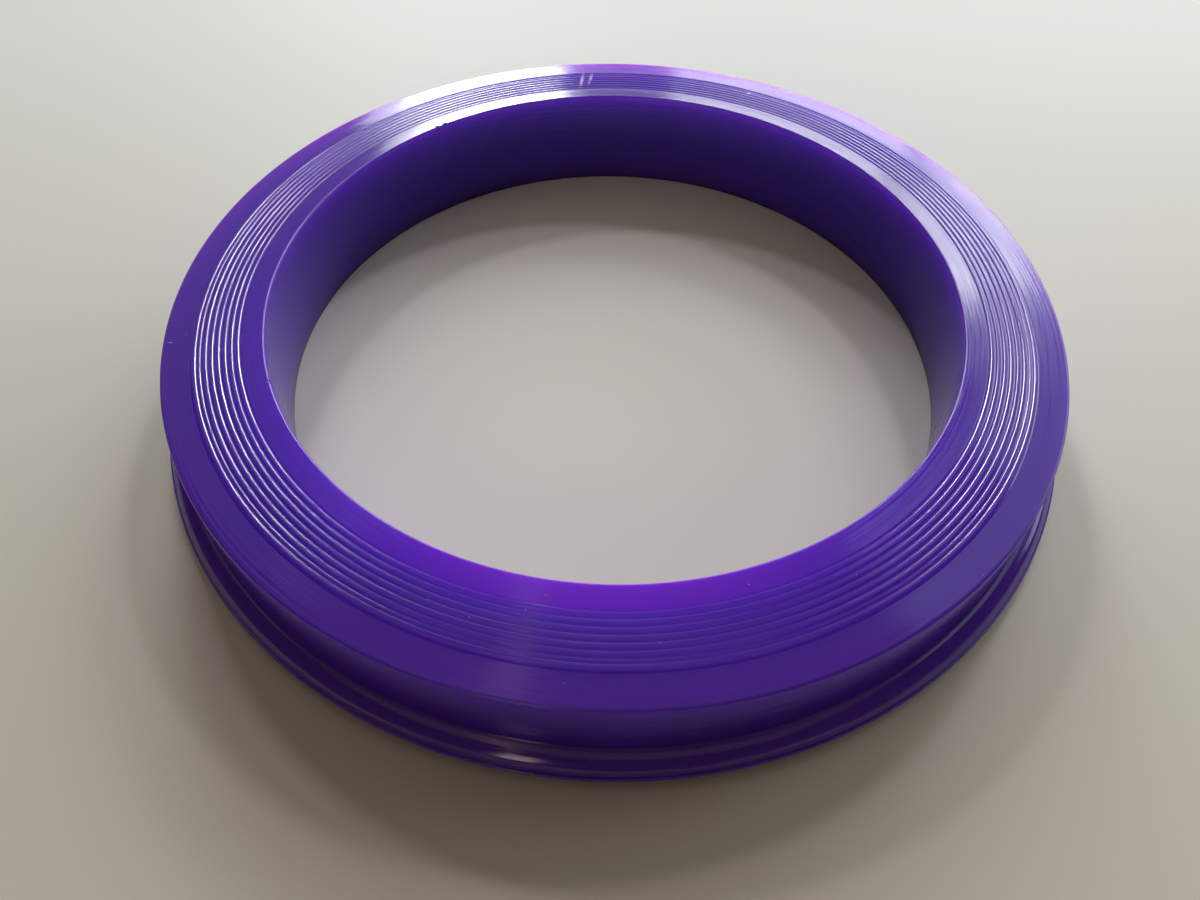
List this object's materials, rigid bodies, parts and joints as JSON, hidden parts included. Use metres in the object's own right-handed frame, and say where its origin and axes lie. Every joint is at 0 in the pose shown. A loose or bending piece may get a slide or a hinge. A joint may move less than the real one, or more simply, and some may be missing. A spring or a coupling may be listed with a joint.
{
  "type": "hammer union seal ring",
  "caption": "Moulded elastomer seal ring with a straight bore, a sloping ribbed sealing face and a retaining bead, for the joint of a hammer union.",
  "frame": {"origin": "on the ring's axis, at the flat back that it stands on", "axes": "+Z along the axis, out of the ribbed sealing face; the ring is the same all round, so X and Y are free"},
  "size_m": [0.1368, 0.1368, 0.0173],
  "materials": {
    "polyurethane": "glossy, slightly translucent purple polyurethane with fine concentric turning marks"
  },
  "bodies": {
    "root": {"seal_ring": "polyurethane"}
  },
  "joints": []
}
